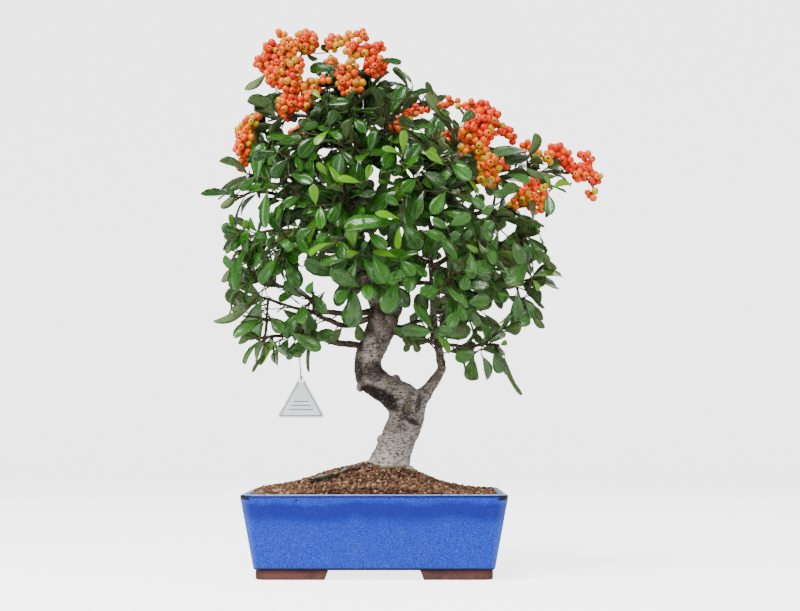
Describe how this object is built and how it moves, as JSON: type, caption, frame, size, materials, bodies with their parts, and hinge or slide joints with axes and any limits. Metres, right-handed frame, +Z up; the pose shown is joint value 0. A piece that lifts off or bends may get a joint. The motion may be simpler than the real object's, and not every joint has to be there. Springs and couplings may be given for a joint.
{
  "type": "pyracantha bonsai in a glazed pot",
  "caption": "Berry-laden pyracantha bonsai with a curved trunk and a leafy, branching crown, growing from a soil mound in a rectangular glazed tray pot, with a blank hang tag.",
  "frame": {"origin": "middle of the object's box in plan, on the surface that the pot's feet stand on", "axes": "+Z up, -Y towards the front long side of the pot, +X to the right as seen from the front"},
  "size_m": [0.3995, 0.2825, 0.5446],
  "materials": {
    "glazed_pot": "gloss",
    "soil": "matte",
    "drain_mesh": "matte",
    "bark": "matte",
    "tag_card": "satin",
    "wire": "satin",
    "berry_orange": "gloss",
    "berry_red": "gloss",
    "berry_yellow": "gloss",
    "leaf": "satin"
  },
  "bodies": {
    "root": {"pot": "glazed_pot", "soil": "soil", "drain_screen_left": "drain_mesh", "drain_screen_right": "drain_mesh", "tree": "bark", "tag": "tag_card", "tag_wire": "wire", "berry_bunch_01": "berry_orange", "berry_bunch_02": "berry_orange", "berry_bunch_03": "berry_yellow", "berry_bunch_04": "berry_orange", "berry_bunch_05": "berry_orange", "berry_bunch_06": "berry_orange", "berry_bunch_07": "berry_yellow", "berry_bunch_08": "berry_red", "berry_bunch_09": "berry_orange", "berry_bunch_10": "berry_orange", "leafy_spray_01": "leaf", "leafy_spray_02": "leaf", "leafy_spray_03": "leaf", "leafy_spray_04": "leaf", "leafy_spray_05": "leaf", "leafy_spray_06": "leaf", "leafy_spray_07": "leaf", "leafy_spray_08": "leaf", "leafy_spray_09": "leaf", "leafy_spray_10": "leaf", "leafy_spray_11": "leaf", "leafy_spray_12": "leaf", "leafy_spray_13": "leaf", "leafy_spray_14": "leaf", "leafy_spray_15": "leaf", "leafy_spray_16": "leaf", "leafy_spray_17": "leaf", "leafy_spray_18": "leaf", "leafy_spray_19": "leaf", "leafy_spray_20": "leaf", "leafy_spray_21": "leaf", "leafy_spray_22": "leaf", "leafy_spray_23": "leaf", "leafy_spray_24": "leaf", "leafy_spray_25": "leaf", "leafy_spray_26": "leaf", "leafy_spray_27": "leaf", "leafy_spray_28": "leaf", "leafy_spray_29": "leaf", "leafy_spray_30": "leaf", "leafy_spray_31": "leaf", "leafy_spray_32": "leaf", "leafy_spray_33": "leaf", "leafy_spray_34": "leaf", "leafy_spray_35": "leaf", "leafy_spray_36": "leaf", "leafy_spray_37": "leaf", "leafy_spray_38": "leaf", "leafy_spray_39": "leaf", "leafy_spray_40": "leaf", "leafy_spray_41": "leaf", "leafy_spray_42": "leaf", "leafy_spray_43": "leaf"}
  },
  "joints": []
}
